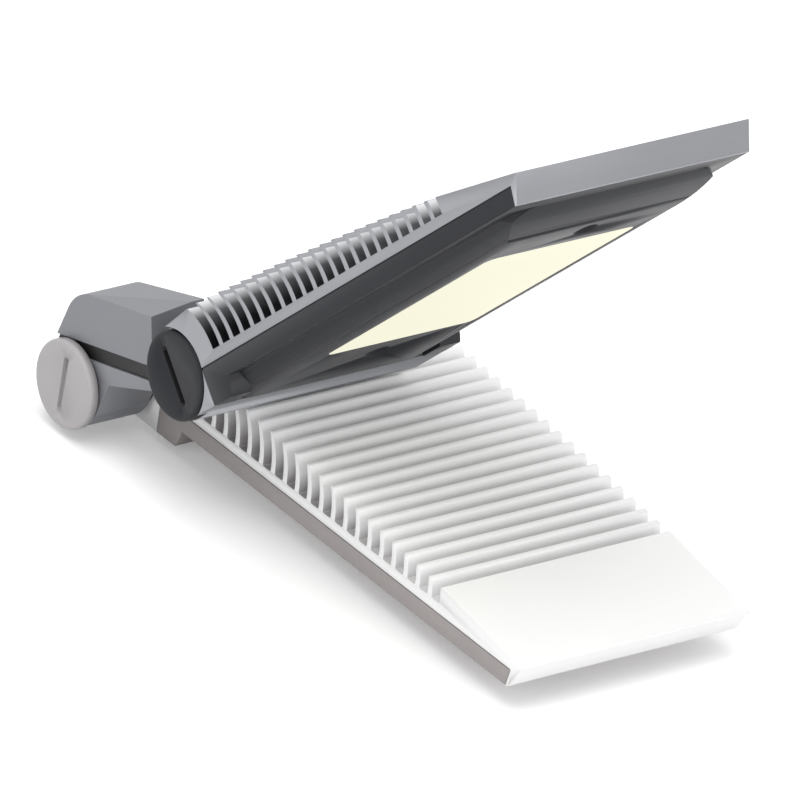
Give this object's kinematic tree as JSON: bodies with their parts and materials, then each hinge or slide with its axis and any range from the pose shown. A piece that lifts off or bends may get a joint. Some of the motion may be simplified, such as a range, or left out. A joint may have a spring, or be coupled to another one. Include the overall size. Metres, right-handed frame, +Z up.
{
  "type": "folding LED desk lamp",
  "caption": "Folding desk lamp with a finned silver head and a charcoal light tray, on a short swing arm beside a white finned base plate.",
  "frame": {"origin": "middle of the rubber pads' resting plane, under the middle of the base plate", "axes": "+Z up, the lamp's front faces -Y, the arm stands at the -X side of the base"},
  "size_m": [0.1338, 0.2425, 0.216],
  "materials": {
    "white_paint": "satin",
    "silver_paint": "satin",
    "charcoal_metal": "satin",
    "charcoal_plastic": "satin",
    "grey_plastic": "satin",
    "knob_grey": "satin",
    "black_plastic": "matte",
    "rubber": "matte",
    "steel": "brushed",
    "brass": "satin",
    "board": "satin",
    "led_board": "matte",
    "diffuser": "satin",
    "clear_guide": "gloss",
    "heat_pad": "matte"
  },
  "bodies": {
    "base": {"base_housing": "white_paint", "base_tray": "grey_plastic", "base_foot": "steel", "ballast_plate": "steel", "rubber_pads": "rubber", "base_screws": "steel", "base_washers": "black_plastic", "barrel_cap": "grey_plastic", "button_switch": "black_plastic", "power_socket": "black_plastic", "driver_board": "board"},
    "base_bolt": {"base_axle": "steel", "base_knob": "knob_grey"},
    "button": {"power_button": "black_plastic"},
    "arm": {"arm_upper_half": "silver_paint", "arm_lower_half": "silver_paint", "arm_core": "black_plastic", "arm_screws": "steel", "swivel_bushes": "brass"},
    "knuckle": {"head_knuckle": "charcoal_metal", "stem_nut": "steel"},
    "head": {"head_housing": "silver_paint", "head_cap": "charcoal_plastic", "head_tray": "charcoal_plastic", "led_diffuser": "diffuser", "light_guide": "clear_guide", "led_board": "led_board", "heat_pad": "heat_pad", "tray_screws": "steel", "head_washers": "black_plastic", "knob_ring": "rubber"},
    "head_bolt": {"head_axle": "steel", "head_knob": "charcoal_plastic"}
  },
  "joints": [
    {"name": "arm_swing", "type": "hinge", "parent": "base", "child": "arm", "pos_m": [-0.0652, 0.113, 0.0195], "axis": [-1, 0, 0], "range_deg": [0, 90]},
    {"name": "head_roll", "type": "hinge", "parent": "arm", "child": "knuckle", "pos_m": [-0.0652, 0.05353, 0.05448], "axis": [0, -0.9659, 0.2588], "range_deg": [0, 95]},
    {"name": "head_tilt", "type": "hinge", "parent": "knuckle", "child": "head", "pos_m": [-0.0652, 0.05353, 0.05448], "axis": [-1, 0, 0], "range_deg": [-45.5, 44.5]},
    {"name": "head_knob_turn", "type": "hinge", "parent": "head", "child": "head_bolt", "pos_m": [-0.082, 0.05353, 0.05448], "axis": [1, 0, 0], "range_deg": [-90, 90]},
    {"name": "base_knob_turn", "type": "hinge", "parent": "base", "child": "base_bolt", "pos_m": [-0.081, 0.113, 0.0195], "axis": [1, 0, 0], "range_deg": [-90, 90]},
    {"name": "power_button", "type": "slide", "parent": "base", "child": "button", "axis": [-1, 0, 0], "range_m": [0, 0.0015], "stiffness_N_per_m": 1200, "springref_m": -0.0008}
  ]
}
